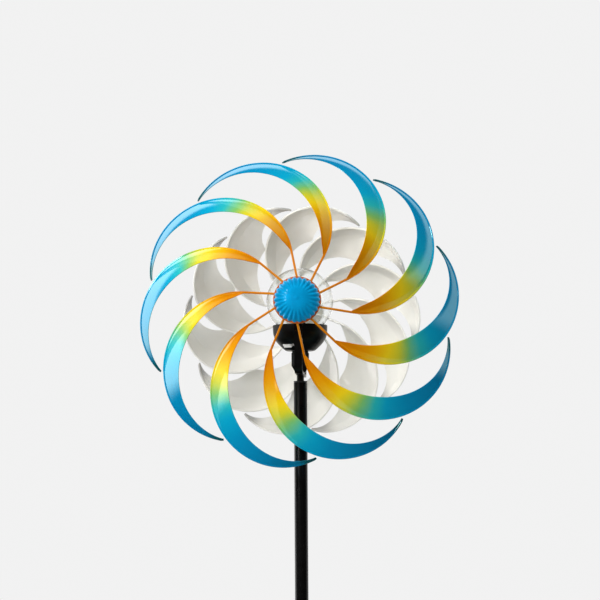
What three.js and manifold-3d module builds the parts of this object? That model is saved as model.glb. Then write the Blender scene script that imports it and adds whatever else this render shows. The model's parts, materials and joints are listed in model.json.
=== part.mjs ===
// Garden wind spinner: two dished ribbon rotors around a solar globe lamp, on a sectional pole with a
// ground fork. Millimetres, +Z up, the front rotor faces -Y. The origin is on the pole axis, at the
// underside of the step plate.
import * as THREE from "three";
import { mergeVertices } from "three/addons/utils/BufferGeometryUtils.js";
import Module from "manifold-3d";

const wasm = await Module();
wasm.setup();

// ---- Driving dimensions ----
const GAP = 0.3; // between pieces that rest on each other
const ROUND = 24; // facets of turned parts

const GLOBE_CENTRE_Z = 1730;
const GLOBE_RADIUS = 40;
const GLOBE_WALL = 1.6;
const GLOBE_MOUTH_Z = -32.5; // from the globe's centre

const POLE_RADIUS = 8;
const POLE_BORE = 6.9;
const POLE_TOP_Z = 1633;
const POLE_SECTIONS = 4;
const JOINT_LENGTH = 80;

const PLATE = { x: 96, y: 56, thick: 3, corner: 8 };
const SOCKET = { outer: 10.5, inner: 8.35, height: 80 };
const PRONG = { radius: 4, length: 180, tip: 26, x: 34 };

const YOKE_WIDTH = 9.2;
const YOKE_THICK = 3;
const YOKE_BAR_Z = -86.5; // bar centre, from the globe's centre
const YOKE_BEND = 11;
const EYE_RADIUS = 6.4;

const PIN_RADIUS = 4.3;
const BUSH_BORE = 4.4;
const STUD_RADIUS = 2.5;
const SLEEVE_BORE = 2.6;
const SLEEVE_RADIUS = 6;

// A rotor's own frame: x to its right, y up, z outwards along the axle, with 0 in the plane of its spokes.
const FRONT = {
  hubOut: 72, // hub centre from the pole axis
  hubZ: -5, // hub centre from the globe's centre
  tilt: 6.5, // degrees, outer end of the axle up
  turn: 0, // degrees about +Z
  phase: 18.8, // degrees, first spoke
  armOffset: 25.5, // arm's middle plane behind the spoke plane
  size: 1, // of a blade, with the front blade as 1
  length: 301, // of the wire, from the hub radius
  dish: 51.5, // depth at DISH_REACH beyond the hub radius
  lean: [44.5, 53.3], // degrees, ribbon's lean out of the wire's plane at its start and end
  strips: [29.5], // widths of the ribbon's strips at its widest place
  stripTurns: [0], // degrees, each strip's turn from the lean
  root: 2.6, // ribbon's width where it starts
};
const REAR = {
  hubOut: 84,
  hubZ: -7,
  tilt: 16,
  turn: 180,
  phase: 8.5,
  armOffset: 37,
  size: 0.755,
  length: 226.5,
  dish: 50,
  lean: [52, 56],
  strips: [18, 34],
  stripTurns: [0, -38],
  root: 5,
};
// A blade of size 1. Its wire leaves the hub straight, then curls along the ribbon.
const HUB_RADIUS = 27.7;
const HEADING = 10.7; // degrees, spoke's lean from radial
const RIBBON_START = 36.3; // along the wire, from the hub radius
const CURL = [
  [0, 0.0108],
  [0.16, 0.0117],
  [0.5, 0.0117],
  [1, 0.012],
]; // curvature in 1/mm by share of the ribbon's length
const DISH_REACH = 160;
const DISH_POWER = 1.07;
const BLADES = 10;
const WIRE_RADIUS = 1.4;
const SHEET_HALF = 0.45;
const WIRE_INNER_RADIUS = 11;
const RIBBON_PEAK = 0.41; // widest place along the ribbon
const RIBBON_TAIL = 1.43; // how fast the ribbon narrows to its tip
const RIBBON_STEPS = 16;

const HUB_PLATE = { radius: 28, hole: 6.35, from: 1.9, thick: 2 };
const DOME = { radius: 26, height: 13, wall: 0.9, from: 4.2 };

// ---- Looks ----
const BLACK_PAINT = { color: 0x0b0b0c, roughness: 0.35, metalness: 0.4 };
const BLACK_PLASTIC = { color: 0x0d0d0e, roughness: 0.4, metalness: 0 };
const STEEL = { color: 0xb9bcc0, roughness: 0.3, metalness: 1 };
const BLADE_FRONT = { color: 0xe0a020, roughness: 0.2, metalness: 0.6 };
const BLADE_REAR = { color: 0xe9e6dc, roughness: 0.25, metalness: 0.4 };
const HUB_ORANGE = { color: 0xa8541a, roughness: 0.3, metalness: 0.6 };
const DOME_BLUE = { color: 0x0a5fb4, roughness: 0.18, metalness: 0.7 };
const WHITE_PAINT = { color: 0xe9e6dc, roughness: 0.25, metalness: 0.4 };
const GLASS = { color: 0xeef4f2, roughness: 0.05, metalness: 0 };
const RUBBER = { color: 0x161616, roughness: 0.8, metalness: 0 };
const NYLON = { color: 0x1a1a1b, roughness: 0.5, metalness: 0 };
const SILICON = { color: 0x101a3a, roughness: 0.15, metalness: 0.3 };
const BOARD_GREEN = { color: 0x1d5c34, roughness: 0.5, metalness: 0 };
const LED_CLEAR = { color: 0xf6f4e8, roughness: 0.1, metalness: 0 };
const CELL_SLEEVE = { color: 0x3c8f4e, roughness: 0.4, metalness: 0 };
const SWITCH_WHITE = { color: 0xe6e4e2, roughness: 0.45, metalness: 0 };

const rad = THREE.MathUtils.degToRad;
const whole = new THREE.Group();

function addMesh(parent, name, geometry, look) {
  const mesh = new THREE.Mesh(geometry, new THREE.MeshStandardMaterial(look));
  mesh.name = name;
  parent.add(mesh);
  return mesh;
}

// ---- Solids and booleans ----
function toSolid(geometry) {
  const bare = geometry.clone();
  bare.deleteAttribute("normal");
  bare.deleteAttribute("uv");
  const merged = mergeVertices(bare, 1e-4);
  return new wasm.Manifold(
    new wasm.Mesh({
      numProp: 3,
      vertProperties: merged.attributes.position.array,
      triVerts: new Uint32Array(merged.index.array),
    }),
  );
}

function toGeometry(solid) {
  const mesh = solid.getMesh();
  const geometry = new THREE.BufferGeometry();
  geometry.setAttribute("position", new THREE.BufferAttribute(Float32Array.from(mesh.vertProperties), 3));
  geometry.setIndex(new THREE.BufferAttribute(Uint32Array.from(mesh.triVerts), 1));
  return geometry;
}

// A turned part about +Z from its closed outline of [radius, z] points, given anticlockwise.
function turned(outline, facets = ROUND) {
  const points = outline.map(([r, z]) => new THREE.Vector2(r, z));
  points.push(points[0].clone());
  return new THREE.LatheGeometry(points, facets).rotateX(Math.PI / 2);
}

function ring(inner, outer, low, high, facets = ROUND) {
  return turned(
    [
      [inner, low],
      [outer, low],
      [outer, high],
      [inner, high],
    ],
    facets,
  );
}

// A solid turned part about +Z whose outline starts and ends on the axis.
function turnedSolid(outline, facets = ROUND) {
  const points = outline.map(([r, z]) => new THREE.Vector2(r, z));
  return new THREE.LatheGeometry(points, facets).rotateX(Math.PI / 2);
}

// ---- Ground fork and pole ----
function roundedPlate(x, y, thick, corner) {
  const shape = new THREE.Shape();
  const hx = x / 2;
  const hy = y / 2;
  shape.moveTo(-hx + corner, -hy);
  shape.lineTo(hx - corner, -hy);
  shape.absarc(hx - corner, -hy + corner, corner, -Math.PI / 2, 0);
  shape.lineTo(hx, hy - corner);
  shape.absarc(hx - corner, hy - corner, corner, 0, Math.PI / 2);
  shape.lineTo(-hx + corner, hy);
  shape.absarc(-hx + corner, hy - corner, corner, Math.PI / 2, Math.PI);
  shape.lineTo(-hx, -hy + corner);
  shape.absarc(-hx + corner, -hy + corner, corner, Math.PI, 1.5 * Math.PI);
  return new THREE.ExtrudeGeometry(shape, { depth: thick, bevelEnabled: false, curveSegments: 5 });
}

function buildGroundFork() {
  addMesh(whole, "step_plate", roundedPlate(PLATE.x, PLATE.y, PLATE.thick, PLATE.corner), BLACK_PAINT);
  const base = PLATE.thick + GAP;
  const socket = ring(SOCKET.inner, SOCKET.outer, base, base + SOCKET.height);
  addMesh(whole, "fork_socket", socket, BLACK_PAINT);
  const prongY = PLATE.y / 2 + GAP + PRONG.radius; // the prongs are welded against the plate's long edges
  for (const [side, sx] of [["left", -1], ["right", 1]]) {
    for (const [end, sy] of [["front", -1], ["rear", 1]]) {
      const prong = turnedSolid(
        [
          [0, -PRONG.length],
          [0.8, -PRONG.length],
          [PRONG.radius, -PRONG.length + PRONG.tip],
          [PRONG.radius, PLATE.thick],
          [0, PLATE.thick],
        ],
        16,
      );
      const mesh = addMesh(whole, `fork_prong_${end}_${side}`, prong, BLACK_PAINT);
      mesh.position.set(sx * PRONG.x, sy * prongY, 0);
    }
  }
}

function buildPole() {
  const low = PLATE.thick + 2 * GAP;
  const pitch = (POLE_TOP_Z - low) / POLE_SECTIONS;
  for (let i = 0; i < POLE_SECTIONS; i++) {
    const from = low + i * pitch + (i ? GAP / 2 : 0);
    const to = low + (i + 1) * pitch - (i < POLE_SECTIONS - 1 ? GAP / 2 : 0);
    addMesh(whole, `pole_section_${i + 1}`, ring(POLE_BORE, POLE_RADIUS, from, to), BLACK_PAINT);
    if (i) {
      const middle = low + i * pitch;
      const insert = ring(5.5, POLE_BORE - GAP, middle - JOINT_LENGTH / 2, middle + JOINT_LENGTH / 2);
      addMesh(whole, `pole_joint_${i}`, insert, STEEL);
    }
  }
  const flange = POLE_TOP_Z + GAP;
  const bush = turned([
    [BUSH_BORE, POLE_TOP_Z - 42],
    [POLE_BORE - GAP, POLE_TOP_Z - 42],
    [POLE_BORE - GAP, flange],
    [POLE_RADIUS, flange],
    [POLE_RADIUS, flange + 1.6],
    [BUSH_BORE, flange + 1.6],
  ]);
  addMesh(whole, "pole_bush", bush, NYLON);
}

// ---- Yoke ----
// The outline of a strip of half-width `half` along a path of [y, z] points, with its corners bent to
// a radius.
function stripOutline(path, half, bend) {
  const left = [];
  const right = [];
  const push = (centre, normal, sideways) => {
    left.push(new THREE.Vector2(centre.x + normal.x * sideways, centre.y + normal.y * sideways));
    right.push(new THREE.Vector2(centre.x - normal.x * sideways, centre.y - normal.y * sideways));
  };
  const at = path.map(([y, z]) => new THREE.Vector2(y, z));
  const first = at[1].clone().sub(at[0]).normalize();
  push(at[0], new THREE.Vector2(-first.y, first.x), half);
  for (let i = 1; i < at.length - 1; i++) {
    const before = at[i].clone().sub(at[i - 1]).normalize();
    const after = at[i + 1].clone().sub(at[i]).normalize();
    const turn = Math.atan2(before.x * after.y - before.y * after.x, before.dot(after));
    const start = at[i].clone().addScaledVector(before, -bend * Math.tan(Math.abs(turn) / 2));
    const side = Math.sign(turn);
    const toCentre = new THREE.Vector2(-before.y, before.x).multiplyScalar(side);
    const centre = start.clone().addScaledVector(toCentre, bend);
    const steps = 4;
    for (let k = 0; k <= steps; k++) {
      const angle = (turn * k) / steps;
      const spoke = toCentre.clone().negate().rotateAround(new THREE.Vector2(0, 0), angle);
      const onPath = centre.clone().addScaledVector(spoke, bend);
      push(onPath, spoke.clone().multiplyScalar(-side), half);
    }
  }
  const last = at[at.length - 1].clone().sub(at[at.length - 2]).normalize();
  push(at[at.length - 1], new THREE.Vector2(-last.y, last.x), half);
  return [...right, ...left.reverse()];
}

// Arm end, where the axle crosses the arm, and the foot of the arm on the yoke's bar, as [y, z].
function armLine(rotor) {
  const side = rotor.turn ? 1 : -1;
  const tilt = rad(rotor.tilt);
  const hubZ = GLOBE_CENTRE_Z + rotor.hubZ;
  const eyeY = side * (rotor.hubOut - rotor.armOffset * Math.cos(tilt));
  const eyeZ = hubZ - rotor.armOffset * Math.sin(tilt);
  const barZ = GLOBE_CENTRE_Z + YOKE_BAR_Z;
  const footY = eyeY + side * Math.tan(tilt) * (eyeZ - barZ);
  return { eye: [eyeY, eyeZ], foot: [footY, barZ] };
}

function eyeDisc(rotor, radius, thick) {
  const line = armLine(rotor);
  const disc = new THREE.CylinderGeometry(radius, radius, thick, ROUND);
  disc.rotateX(rotor.turn ? rad(rotor.tilt) : -rad(rotor.tilt));
  return disc.translate(0, line.eye[0], line.eye[1]);
}

function buildYoke(head) {
  const front = armLine(FRONT);
  const rear = armLine(REAR);
  const outline = stripOutline([front.eye, front.foot, rear.foot, rear.eye], YOKE_THICK / 2, YOKE_BEND);
  const bar = new THREE.ExtrudeGeometry(new THREE.Shape(outline), { depth: YOKE_WIDTH, bevelEnabled: false });
  bar.translate(0, 0, -YOKE_WIDTH / 2);
  const toWorld = new THREE.Matrix4().makeBasis(
    new THREE.Vector3(0, 1, 0),
    new THREE.Vector3(0, 0, 1),
    new THREE.Vector3(1, 0, 0),
  );
  bar.applyMatrix4(toWorld);
  const pinHole = new THREE.CylinderGeometry(2.8, 2.8, 12, 24).rotateX(Math.PI / 2);
  pinHole.translate(0, 0, GLOBE_CENTRE_Z + YOKE_BAR_Z);
  const yoke = toSolid(bar)
    .add(toSolid(eyeDisc(FRONT, EYE_RADIUS, YOKE_THICK)))
    .add(toSolid(eyeDisc(REAR, EYE_RADIUS, YOKE_THICK)))
    .subtract(toSolid(eyeDisc(FRONT, STUD_RADIUS + GAP, 12)))
    .subtract(toSolid(eyeDisc(REAR, STUD_RADIUS + GAP, 12)))
    .subtract(toSolid(pinHole));
  addMesh(head, "yoke_frame", toGeometry(yoke), BLACK_PAINT);

  const barLow = GLOBE_CENTRE_Z + YOKE_BAR_Z - YOKE_THICK / 2;
  const pin = turnedSolid([
    [0, POLE_TOP_Z - 48],
    [PIN_RADIUS - 0.8, POLE_TOP_Z - 48],
    [PIN_RADIUS, POLE_TOP_Z - 46],
    [PIN_RADIUS, barLow - GAP],
    [2.4, barLow - GAP],
    [2.4, barLow + 14],
    [0, barLow + 14],
  ]);
  addMesh(head, "yoke_pin", pin, BLACK_PAINT);
}

// ---- Lamp ----
// Outer outline of the cup from its rim to its floor, as [radius, z from the globe's centre].
const CUP_OUTLINE = [
  [32.6, -28.5],
  [32.3, -39],
  [29.8, -46],
  [25.8, -51.2],
  [20.2, -56.6],
  [16.8, -59.3],
];
const SWITCH = {
  azimuth: 235,
  along: 11,
  tall: 4.8,
  baseAlong: 13.6,
  slotAlong: 16,
  slotTall: 5.4,
  radius: 22.6,
  z: -54.2,
};

function switchFrame() {
  const around = rad(SWITCH.azimuth);
  const outwards = new THREE.Vector3(Math.cos(around), Math.sin(around), 0);
  const along = new THREE.Vector3(-Math.sin(around), Math.cos(around), 0);
  const normal = outwards.clone().multiplyScalar(Math.SQRT1_2).add(new THREE.Vector3(0, 0, -Math.SQRT1_2));
  const across = normal.clone().cross(along);
  const frame = new THREE.Matrix4().makeBasis(along, across, normal);
  frame.setPosition(outwards.x * SWITCH.radius, outwards.y * SWITCH.radius, GLOBE_CENTRE_Z + SWITCH.z);
  return frame;
}

function buildCup(head) {
  const inner = [
    [16.2, -57.3],
    [18.9, -55],
    [24.2, -50],
    [27.9, -45.2],
    [30.3, -38.6],
    [30.6, -28.5],
  ];
  const outer = CUP_OUTLINE.slice(0, -1).reverse();
  const outline = [[2.8, -59.3], [16.8, -59.3], ...outer, ...inner.reverse(), [2.8, -57.3]];
  const cup = turned(outline.map(([r, z]) => [r, z + GLOBE_CENTRE_Z]));
  const slot = new THREE.BoxGeometry(SWITCH.slotAlong, SWITCH.slotTall, 9).applyMatrix4(switchFrame());
  addMesh(head, "lamp_cup", toGeometry(toSolid(cup).subtract(toSolid(slot))), BLACK_PLASTIC);
}

function buildSwitch(head) {
  const knob = new THREE.BoxGeometry(SWITCH.along, SWITCH.tall, 4.6).translate(0, 0, -1.7);
  const base = new THREE.BoxGeometry(SWITCH.baseAlong, SWITCH.slotTall + 2, 1).translate(0, 0, -4.4);
  const slider = toSolid(knob).add(toSolid(base));
  const geometry = toGeometry(slider).translate(-2, 0, 0).applyMatrix4(switchFrame());
  addMesh(head, "lamp_switch", geometry, SWITCH_WHITE);
}

function buildStemBlock(head) {
  const flat = 1 / Math.cos(Math.PI / 8);
  const block = turned(
    [
      [2.8, -84.7],
      [6 * flat, -84.7],
      [10.3 * flat, -77],
      [10.3 * flat, -62],
      [9.4 * flat, -61],
      [9.4 * flat, -59.6],
      [2.8, -59.6],
    ],
    8,
  );
  block.rotateZ(Math.PI / 8);
  block.translate(0, 0, GLOBE_CENTRE_Z);
  addMesh(head, "stem_block", block, BLACK_PLASTIC);
  const screw = turnedSolid(
    [
      [0, -69],
      [2.4, -69],
      [2.4, -57],
      [4.6, -57],
      [4.6, -55.4],
      [3.4, -54.4],
      [0, -54.4],
    ],
    20,
  );
  screw.translate(0, 0, GLOBE_CENTRE_Z);
  addMesh(head, "lamp_screw", screw, STEEL);
}

function buildGlobe(head) {
  const steps = 8;
  const arc = (radius, end) => {
    const points = [];
    for (let i = 0; i <= steps; i++) {
      const angle = Math.PI / 2 - ((Math.PI / 2 - end) * i) / steps;
      points.push([radius * Math.cos(angle), radius * Math.sin(angle)]);
    }
    return points;
  };
  const mouth = Math.asin(GLOBE_MOUTH_Z / GLOBE_RADIUS);
  const outside = arc(GLOBE_RADIUS, mouth).reverse();
  const inside = arc(GLOBE_RADIUS - GLOBE_WALL, mouth);
  outside[outside.length - 1][0] = 0;
  inside[0][0] = 0;
  const globe = turnedSolid([...outside, ...inside, outside[0]], 22);
  globe.translate(0, 0, GLOBE_CENTRE_Z);
  addMesh(head, "glass_globe", globe, GLASS);
}

function buildLampInside(head) {
  const top = GLOBE_CENTRE_Z;
  addMesh(head, "lamp_gasket", ring(28.4, 30.2, top - 32, top - 29, 28), RUBBER);
  addMesh(head, "lamp_tray", ring(3.4, 29.6, top - 35.4, top - 33.2), BLACK_PLASTIC);
  const cell = new THREE.BoxGeometry(29, 29, 1.5).translate(0, 0, top - 32.1);
  const hole = new THREE.CylinderGeometry(4, 4, 8, 24).rotateX(Math.PI / 2).translate(0, 0, top - 32.1);
  addMesh(head, "solar_cell", toGeometry(toSolid(cell).subtract(toSolid(hole))), SILICON);
  const led = turnedSolid(
    [
      [0, -37.1],
      [2.9, -37.1],
      [2.9, -36],
      [2.5, -36],
      [2.5, -30.4],
      [2.2, -29.1],
      [1.3, -28.2],
      [0, -27.9],
    ],
    20,
  );
  led.translate(0, 0, top);
  addMesh(head, "lamp_led", led, LED_CLEAR);
  const board = turnedSolid([[0, -39], [15, -39], [15, -37.4], [0, -37.4]], 28);
  addMesh(head, "led_board", board.translate(0, 0, top), BOARD_GREEN);
  const battery = new THREE.CylinderGeometry(5.1, 5.1, 29, 24).rotateZ(Math.PI / 2);
  addMesh(head, "battery_cell", battery.translate(0, 0, top - 45.6), CELL_SLEEVE);
  const block = new THREE.BoxGeometry(34, 14, 9).translate(0, 0, top - 47.6);
  const pocket = new THREE.BoxGeometry(30, 11, 12.4).translate(0, 0, top - 44.8);
  addMesh(head, "battery_holder", toGeometry(toSolid(block).subtract(toSolid(pocket))), BLACK_PLASTIC);
}

// ---- Rotors ----
function curlAt(share) {
  const next = Math.max(CURL.findIndex(([at]) => at >= share), 1);
  const [from, low] = CURL[next - 1];
  const [to, high] = CURL[next];
  return low + ((high - low) * (share - from)) / (to - from);
}

// Points on a blade's wire in the rotor's frame, at distances measured along it from the hub radius.
function wireLine(rotor, distances) {
  const fine = 0.5;
  const hubRadius = HUB_RADIUS * rotor.size;
  const ribbonStart = RIBBON_START * rotor.size;
  const points = [];
  let x = hubRadius;
  let y = 0;
  let heading = rad(HEADING);
  let s = 0;
  for (const target of distances) {
    if (target <= 0) {
      points.push([hubRadius + Math.cos(heading) * target, Math.sin(heading) * target]);
      continue;
    }
    while (s < target - 1e-9) {
      const step = Math.min(fine, target - s);
      const share = (s + step / 2 - ribbonStart) / (rotor.length - ribbonStart);
      const turn = share < 0 ? 0 : (curlAt(share) * step) / rotor.size;
      x += Math.cos(heading + turn / 2) * step;
      y += Math.sin(heading + turn / 2) * step;
      heading += turn;
      s += step;
    }
    points.push([x, y]);
  }
  return points.map(([px, py]) => {
    const out = Math.max(Math.hypot(px, py) - hubRadius, 0) / (DISH_REACH * rotor.size);
    return new THREE.Vector3(px, py, -rotor.dish * out ** DISH_POWER);
  });
}

function ribbonShare(t) {
  const rise = (RIBBON_PEAK * RIBBON_TAIL) / (1 - RIBBON_PEAK);
  const shape = (u) => u ** rise * (1 - u) ** RIBBON_TAIL;
  return shape(t) / shape(RIBBON_PEAK);
}

// One cross-section of a blade at a station: the wire's far side, middle and near side, then the
// ribbon's folds and free edge. Each entry is a point on the sheet's middle surface, its half thickness
// and its normal.
function crossSection(rotor, line, stations, i) {
  const before = line[Math.max(i - 1, 0)];
  const after = line[Math.min(i + 1, line.length - 1)];
  const tangent = after.clone().sub(before).normalize();
  const inward = new THREE.Vector3(-tangent.y, tangent.x, 0).normalize();
  const upward = tangent.clone().cross(inward);
  const ribbonStart = RIBBON_START * rotor.size;
  const t = Math.max((stations[i] - ribbonStart) / (rotor.length - ribbonStart), 0);
  const onRibbon = stations[i] >= ribbonStart;
  const share = onRibbon ? ribbonShare(t) : 0;
  const root = onRibbon ? rotor.root * Math.min(t / 0.04, 1) * (1 - t) : 0;
  const folds = rotor.stripTurns.map((stripTurn) => {
    const lean = onRibbon ? rad(rotor.lean[0] + (rotor.lean[1] - rotor.lean[0]) * t + stripTurn) : 0;
    const along = inward.clone().multiplyScalar(Math.cos(lean)).addScaledVector(upward, Math.sin(lean));
    return { along, normal: tangent.clone().cross(along) };
  });
  const first = folds[0];
  const across = (distance) => line[i].clone().addScaledVector(first.along, distance);
  const section = [
    { at: across(-WIRE_RADIUS), half: 0.75, normal: first.normal },
    { at: across(0), half: WIRE_RADIUS, normal: first.normal },
    { at: across(WIRE_RADIUS - 0.25), half: SHEET_HALF, normal: first.normal },
  ];
  const at = across(WIRE_RADIUS + 0.3 + root);
  folds.forEach((fold, k) => {
    at.addScaledVector(fold.along, 0.3 + share * rotor.strips[k]);
    const next = folds[Math.min(k + 1, folds.length - 1)];
    const normal = fold.normal.clone().add(next.normal).normalize();
    section.push({ at: at.clone(), half: SHEET_HALF, normal });
  });
  return section;
}

// Splits a box's far face along the same diagonals as its near face, so that a sheet bent from it
// keeps its thickness where it twists.
function matchDiagonals(box) {
  const index = box.getIndex();
  const farFace = box.groups[5];
  for (let first = farFace.start; first < farFace.start + farFace.count; first += 6) {
    const [a, b, d, , c] = [0, 1, 2, 3, 4].map((corner) => index.getX(first + corner));
    [a, b, c, a, c, d].forEach((vertex, corner) => index.setX(first + corner, vertex));
  }
}

// One blade: a round wire with a thin ribbon on its concave side, bent from a long box.
function bladeGeometry(rotor) {
  const ribbonStart = RIBBON_START * rotor.size;
  const stations = [WIRE_INNER_RADIUS - HUB_RADIUS * rotor.size, 0, ribbonStart * 0.5, ribbonStart - 2.5];
  for (let i = 0; i <= RIBBON_STEPS; i++) {
    stations.push(ribbonStart + ((rotor.length - ribbonStart) * i) / RIBBON_STEPS);
  }
  const line = wireLine(rotor, stations);
  const sections = stations.map((_, i) => crossSection(rotor, line, stations, i));
  const columns = 2 + rotor.strips.length;
  const box = new THREE.BoxGeometry(1, 1, 1, stations.length - 1, columns, 1);
  const place = box.getAttribute("position");
  for (let v = 0; v < place.count; v++) {
    const i = Math.round((place.getX(v) + 0.5) * (stations.length - 1));
    const column = Math.round((place.getY(v) + 0.5) * columns);
    const { at, half, normal } = sections[i][column];
    const point = at.clone().addScaledVector(normal, Math.sign(place.getZ(v)) * half);
    place.setXYZ(v, point.x, point.y, point.z);
  }
  matchDiagonals(box);
  return box;
}

function hubPlate() {
  const { radius, hole, from, thick } = HUB_PLATE;
  return turned(
    [
      [hole, from],
      [radius, from],
      [radius, from + thick - 0.6],
      [radius - 0.6, from + thick],
      [hole, from + thick],
    ],
    28,
  );
}

function hubDome() {
  const { radius, height, wall, from } = DOME;
  const steps = 5;
  const outside = [];
  const inside = [];
  for (let i = 0; i <= steps; i++) {
    const angle = (Math.PI / 2) * (i / steps);
    outside.push([radius * Math.cos(angle), from + height * Math.sin(angle)]);
    inside.push([(radius - wall) * Math.cos(angle), from + (height - wall) * Math.sin(angle)]);
  }
  outside[steps][0] = 0;
  inside[steps][0] = 0;
  return turnedSolid([...inside.reverse(), ...outside], 28);
}

function buildRotor(label, rotor, blade, plate, dome) {
  const turnGroup = new THREE.Group();
  turnGroup.position.z = GLOBE_CENTRE_Z + rotor.hubZ;
  turnGroup.rotation.z = rad(rotor.turn);
  const hub = new THREE.Group();
  hub.position.y = -rotor.hubOut;
  hub.rotation.x = Math.PI / 2 - rad(rotor.tilt);
  turnGroup.add(hub);
  whole.add(turnGroup);

  const armOut = -rotor.armOffset + YOKE_THICK / 2;
  const armIn = -rotor.armOffset - YOKE_THICK / 2;
  const shoulder = armOut + GAP;
  const stud = turnedSolid([
    [0, armIn - 0.4],
    [STUD_RADIUS, armIn - 0.4],
    [STUD_RADIUS, shoulder],
    [5, shoulder],
    [5, shoulder + 2],
    [STUD_RADIUS, shoulder + 2],
    [STUD_RADIUS, 14.6],
    [0, 14.6],
  ]);
  addMesh(hub, `${label}_axle_stud`, stud, STEEL);
  const washerLow = shoulder + 2 + GAP;
  addMesh(hub, `${label}_inner_washer`, ring(STUD_RADIUS + GAP, 5.6, washerLow, washerLow + 1.2, 24), STEEL);
  addMesh(hub, `${label}_hub_sleeve`, ring(SLEEVE_BORE, SLEEVE_RADIUS, washerLow + 1.2 + GAP, 8.6), STEEL);
  addMesh(hub, `${label}_lock_nut`, ring(3.3, 4.8, 9, 13.6, 6), STEEL);
  addMesh(hub, `${label}_hub_plate`, hubPlate(), plate);
  addMesh(hub, `${label}_hub_dome`, hubDome(), dome);
  for (let k = 0; k < BLADES; k++) {
    const number = String(k + 1).padStart(2, "0");
    const mesh = addMesh(hub, `${label}_blade_${number}`, bladeGeometry(rotor), blade);
    mesh.rotation.z = rad(rotor.phase + (360 / BLADES) * k);
  }
}

buildGroundFork();
buildPole();
const head = new THREE.Group();
whole.add(head);
buildYoke(head);
buildStemBlock(head);
buildCup(head);
buildSwitch(head);
buildGlobe(head);
buildLampInside(head);
buildRotor("front", FRONT, BLADE_FRONT, HUB_ORANGE, DOME_BLUE);
buildRotor("rear", REAR, BLADE_REAR, WHITE_PAINT, WHITE_PAINT);

export default whole;
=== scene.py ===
"""Looks for the garden wind spinner: ribbon rotors, crackle globe lamp, yoke, pole and ground fork."""

import json
import math

import bmesh
import bpy
from mathutils import Matrix, Vector


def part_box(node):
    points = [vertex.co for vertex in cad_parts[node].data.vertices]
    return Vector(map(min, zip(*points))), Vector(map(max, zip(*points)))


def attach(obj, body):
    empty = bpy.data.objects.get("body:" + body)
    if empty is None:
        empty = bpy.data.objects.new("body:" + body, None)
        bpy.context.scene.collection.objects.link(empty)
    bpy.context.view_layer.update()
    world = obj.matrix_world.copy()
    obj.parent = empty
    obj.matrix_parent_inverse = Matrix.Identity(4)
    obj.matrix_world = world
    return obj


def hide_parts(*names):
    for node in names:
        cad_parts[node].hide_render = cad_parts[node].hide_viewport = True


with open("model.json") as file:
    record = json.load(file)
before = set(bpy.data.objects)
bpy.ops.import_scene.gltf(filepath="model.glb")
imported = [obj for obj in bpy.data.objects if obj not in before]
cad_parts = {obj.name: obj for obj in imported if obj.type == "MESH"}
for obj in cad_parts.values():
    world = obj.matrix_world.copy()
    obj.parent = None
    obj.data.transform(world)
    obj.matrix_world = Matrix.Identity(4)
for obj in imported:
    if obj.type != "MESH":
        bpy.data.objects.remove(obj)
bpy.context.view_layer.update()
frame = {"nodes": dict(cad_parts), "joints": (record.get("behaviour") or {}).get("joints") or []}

MM = 0.001

# ---- Driving dimensions ----
# Millimetres where no unit is named. A rotor's own frame has z outwards along its axle.
GLOBE_CENTRE = Vector((0.0, 0.0, 1.730))  # metres
GLOBE_RADIUS = 40.0
GLOBE_WALL = 1.6
GLOBE_MOUTH_Z = -32.5  # from the globe's centre
BLADES = 10
BLADE_PITCH = 360.0 / BLADES  # degrees
HUB_RADIUS = 27.7
HEADING = 10.7  # degrees, a spoke's lean from radial
RIBBON_START = 36.3  # along the wire, from the hub radius
# Share along the ribbon, and the wire's turn there in radians per millimetre.
CURL = ((0.0, 0.0108), (0.16, 0.0117), (0.5, 0.0117), (1.0, 0.012))
DISH_REACH = 160.0  # beyond the hub radius, where the dish is a rotor's "dish" deep
DISH_POWER = 1.07
WIRE_RADIUS = 1.4
WIRE_INNER_RADIUS = 11.0
RIBBON_PEAK = 0.41  # widest place along the ribbon
RIBBON_TAIL = 1.43  # how fast the ribbon narrows to its tip
SHEET_HALF = 0.35

FRONT = {
    "label": "front", "joint": "front_rotor_spin", "body": "front_rotor",
    "hub_out": 72.0, "hub_z": -5.0, "tilt": 6.5, "turn": 0.0, "phase": 18.8, "arm_offset": 25.5,
    "size": 1.0, "length": 301.0, "dish": 51.5, "lean": (44.5, 53.3),
    "strips": (29.5,), "strip_turns": (0.0,), "root": 2.6, "crown": 0.014,
}
REAR = {
    "label": "rear", "joint": "rear_rotor_spin", "body": "rear_rotor",
    "hub_out": 84.0, "hub_z": -7.0, "tilt": 16.0, "turn": 180.0, "phase": 8.5, "arm_offset": 37.0,
    "size": 0.755, "length": 226.5, "dish": 50.0, "lean": (52.0, 56.0),
    "strips": (18.0, 34.0), "strip_turns": (0.0, -38.0), "root": 5.0, "crown": 0.03,
}

YOKE_WIDTH = 9.2
YOKE_THICK = 3.0
YOKE_BAR_Z = -86.5
YOKE_BEND = 11.0
EYE_RADIUS = 6.4
EYE_FIT = 0.998  # of the strip's thickness, so that the faces of an eye and the strip don't coincide
STUD_HOLE = 2.8
PIN_HOLE = 2.8
CUTTER_HALF = 6.0  # half length of the solids that cut holes in the yoke

HUB_PLATE = {"radius": 28.0, "hole": 6.35, "low": 1.9, "thick": 2.0}
DOME = {"radius": 27.1, "height": 12.4, "wall": 0.9, "low": 4.2, "flutes": 26, "depth": 1.4}
DOME_INNER_RISE = 0.6  # keeps the dome's hidden inner wall clear of the end of the axle stud
PIP_RADIUS = 2.6

POLE = {"sections": 4, "bore": 6.9, "radius": 8.0, "end_round": 0.35, "groove": 0.22}
SOCKET = {"inner": 8.35, "outer": 10.5}
PRONG_RADIUS = 4.0

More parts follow.
